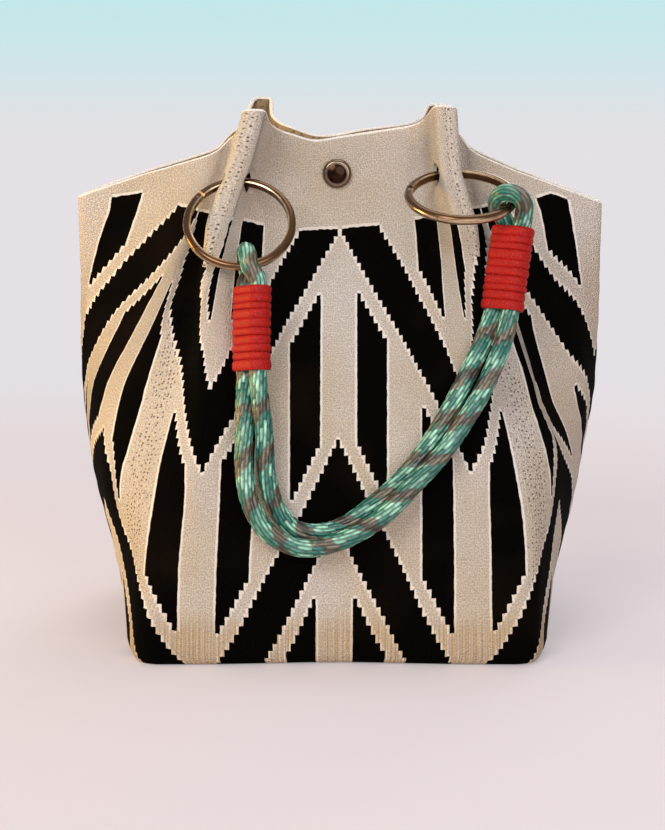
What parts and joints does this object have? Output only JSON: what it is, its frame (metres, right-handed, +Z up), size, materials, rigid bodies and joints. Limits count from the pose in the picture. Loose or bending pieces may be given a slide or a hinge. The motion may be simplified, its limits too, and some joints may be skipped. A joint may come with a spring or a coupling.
{
  "type": "tote bag",
  "caption": "Knitted bucket tote with a chevron and stripe pattern, pinched pleats, a snap, spring-gate rings and doubled rope handles.",
  "frame": {"origin": "middle of the base, on the surface the bag stands on", "axes": "+Z up, the front panel with its hanging handle towards -Y, +X to the right of someone who faces the front"},
  "size_m": [0.299, 0.2406, 0.3019],
  "materials": {
    "jacquard_knit": "cream and black jacquard knit, matt",
    "gunmetal_plate": "polished gun-metal plating",
    "spring_steel": "plain drawn wire",
    "braided_rope": "braided sheath in turquoise, mint and brown, slight sheen",
    "red_cord": "smooth red cord, slight sheen"
  },
  "bodies": {
    "bag": {"knit_body": "jacquard_knit", "front_snap_cap": "gunmetal_plate", "back_snap_cap": "gunmetal_plate", "snap_socket": "gunmetal_plate", "snap_stud": "gunmetal_plate"},
    "front_handle": {"front_left_ring": "gunmetal_plate", "front_left_gate_pin": "gunmetal_plate", "front_left_gate_spring": "spring_steel", "front_right_ring": "gunmetal_plate", "front_right_gate_pin": "gunmetal_plate", "front_right_gate_spring": "spring_steel", "front_rope": "braided_rope", "front_left_whipping": "red_cord", "front_right_whipping": "red_cord"},
    "back_handle": {"back_left_ring": "gunmetal_plate", "back_left_gate_pin": "gunmetal_plate", "back_left_gate_spring": "spring_steel", "back_right_ring": "gunmetal_plate", "back_right_gate_pin": "gunmetal_plate", "back_right_gate_spring": "spring_steel", "back_rope": "braided_rope", "back_left_whipping": "red_cord", "back_right_whipping": "red_cord"},
    "front_left_gate_arm": {"front_left_gate": "gunmetal_plate"},
    "front_right_gate_arm": {"front_right_gate": "gunmetal_plate"},
    "back_left_gate_arm": {"back_left_gate": "gunmetal_plate"},
    "back_right_gate_arm": {"back_right_gate": "gunmetal_plate"}
  },
  "joints": [
    {"name": "front_handle_swing", "type": "hinge", "parent": "bag", "child": "front_handle", "pos_m": [-0.0565, -0.044, 0.2555], "axis": [-0.9991, -0.0201, -0.0378], "range_deg": [0, 135]},
    {"name": "back_handle_swing", "type": "hinge", "parent": "bag", "child": "back_handle", "pos_m": [-0.0565, 0.044, 0.2555], "axis": [0.9991, -0.0201, 0.0378], "range_deg": [0, 135]},
    {"name": "front_left_gate_hinge", "type": "hinge", "parent": "front_handle", "child": "front_left_gate_arm", "pos_m": [-0.07585, -0.0521, 0.24663], "axis": [0.025, -0.7649, 0.6437], "range_deg": [0, 25], "stiffness_Nm_per_rad": 0.05, "springref_deg": -8.59, "deforming": ["front_left_gate_spring"]},
    {"name": "front_right_gate_hinge", "type": "hinge", "parent": "front_handle", "child": "front_right_gate_arm", "pos_m": [0.03887, -0.06432, 0.25063], "axis": [0.01, -0.3899, 0.9208], "range_deg": [0, 25], "stiffness_Nm_per_rad": 0.05, "springref_deg": -8.59, "deforming": ["front_right_gate_spring"]},
    {"name": "back_left_gate_hinge", "type": "hinge", "parent": "back_handle", "child": "back_left_gate_arm", "pos_m": [-0.07585, 0.0521, 0.24663], "axis": [-0.025, -0.7649, -0.6437], "range_deg": [0, 25], "stiffness_Nm_per_rad": 0.05, "springref_deg": -8.59, "deforming": ["back_left_gate_spring"]},
    {"name": "back_right_gate_hinge", "type": "hinge", "parent": "back_handle", "child": "back_right_gate_arm", "pos_m": [0.03887, 0.06432, 0.25063], "axis": [-0.01, -0.3899, -0.9208], "range_deg": [0, 25], "stiffness_Nm_per_rad": 0.05, "springref_deg": -8.59, "deforming": ["back_right_gate_spring"]}
  ]
}
